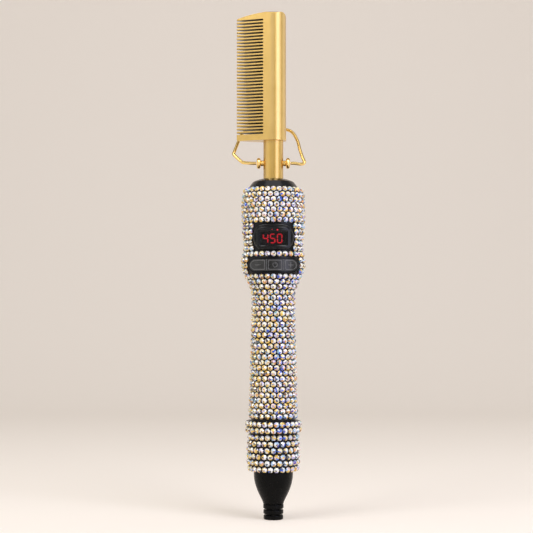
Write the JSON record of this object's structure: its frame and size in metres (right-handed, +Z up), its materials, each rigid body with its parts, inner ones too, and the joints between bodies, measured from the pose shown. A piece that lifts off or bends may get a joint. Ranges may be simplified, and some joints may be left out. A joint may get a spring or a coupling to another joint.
{
  "type": "electric hot comb",
  "caption": "Electric hot comb: metal comb on a heated neck, crystal-covered clamshell handle with keys and display, folding wire rest, swivelling cord boot.",
  "frame": {"origin": "centre of the cord boot's lower face, at the mouth of the cord's bore", "axes": "+Z up the handle to the comb's end, the display and keys face -Y, the teeth point to -X"},
  "size_m": [0.0457, 0.0399, 0.3108],
  "materials": {
    "gold_metal": "satin anodised gold",
    "gold_wire": "satin gold-plated wire",
    "heater_ceramic": "fired ceramic",
    "mica_sleeve": "mica wrap",
    "red_insulation": "silicone insulation",
    "white_insulation": "silicone insulation",
    "fuse_ceramic": "fired ceramic",
    "heat_proof_plastic": "filled resin",
    "steel": "plated",
    "black_plastic": "fine satin",
    "bezel_plastic": "satin gloss",
    "smoked_window": "polished dark window",
    "display_body": "moulded",
    "red_light": "lit",
    "key_rubber": "fine matt",
    "switch_plastic": "moulded",
    "board": "solder mask",
    "holder_plastic": "moulded",
    "contact_brass": "spring brass",
    "boot_rubber": "fine matt",
    "crystal": "cut glass with a rainbow coating, foil-backed"
  },
  "bodies": {
    "handle": {"comb_head": "gold_metal", "neck_tube": "gold_metal", "heater_core": "heater_ceramic", "heater_sleeve": "mica_sleeve", "heater_leads": "red_insulation", "thermal_fuse": "fuse_ceramic", "neck_bushing": "heat_proof_plastic", "neck_collar": "steel", "stud_left": "gold_metal", "stud_right": "gold_metal", "nose_cap": "black_plastic", "front_shell": "black_plastic", "back_shell": "black_plastic", "shell_screws": "steel", "retaining_ring": "black_plastic", "end_cap": "black_plastic", "display_bezel": "bezel_plastic", "display_lens": "smoked_window", "led_module": "display_body", "lit_segments": "red_light", "indicator_leds": "red_light", "keypad_frame": "black_plastic", "key_switches": "switch_plastic", "circuit_board": "board", "board_screws": "steel", "supply_leads": "white_insulation", "contact_holder": "holder_plastic", "brush_contacts": "contact_brass", "crystals_head_a": "crystal", "crystals_head_b": "crystal", "crystals_crest": "crystal", "crystals_grip_a": "crystal", "crystals_grip_b": "crystal", "crystals_ring": "crystal", "crystals_cap_a": "crystal", "crystals_cap_b": "crystal"},
    "wire_rest": {"stand_wire": "gold_wire"},
    "swivel": {"cord_boot": "boot_rubber", "swivel_clip": "steel", "slip_rings": "contact_brass"},
    "minus_key": {"key_minus": "key_rubber"},
    "power_key": {"key_power": "key_rubber"},
    "plus_key": {"key_plus": "key_rubber"}
  },
  "joints": [
    {"name": "wire_rest_pivot", "type": "hinge", "parent": "handle", "child": "wire_rest", "pos_m": [0, 0, 0.21795], "axis": [-1, 0, 0], "range_deg": [-6, 85]},
    {"name": "cord_swivel", "type": "hinge", "parent": "handle", "child": "swivel", "pos_m": [0, 0, 0], "axis": [0, 0, 1], "continuous": true},
    {"name": "minus_key_travel", "type": "slide", "parent": "handle", "child": "minus_key", "axis": [0, 1, 0], "range_m": [0, 0.0007], "stiffness_N_per_m": 1000},
    {"name": "power_key_travel", "type": "slide", "parent": "handle", "child": "power_key", "axis": [0, 1, 0], "range_m": [0, 0.0007], "stiffness_N_per_m": 1000},
    {"name": "plus_key_travel", "type": "slide", "parent": "handle", "child": "plus_key", "axis": [0, 1, 0], "range_m": [0, 0.0007], "stiffness_N_per_m": 1000}
  ]
}
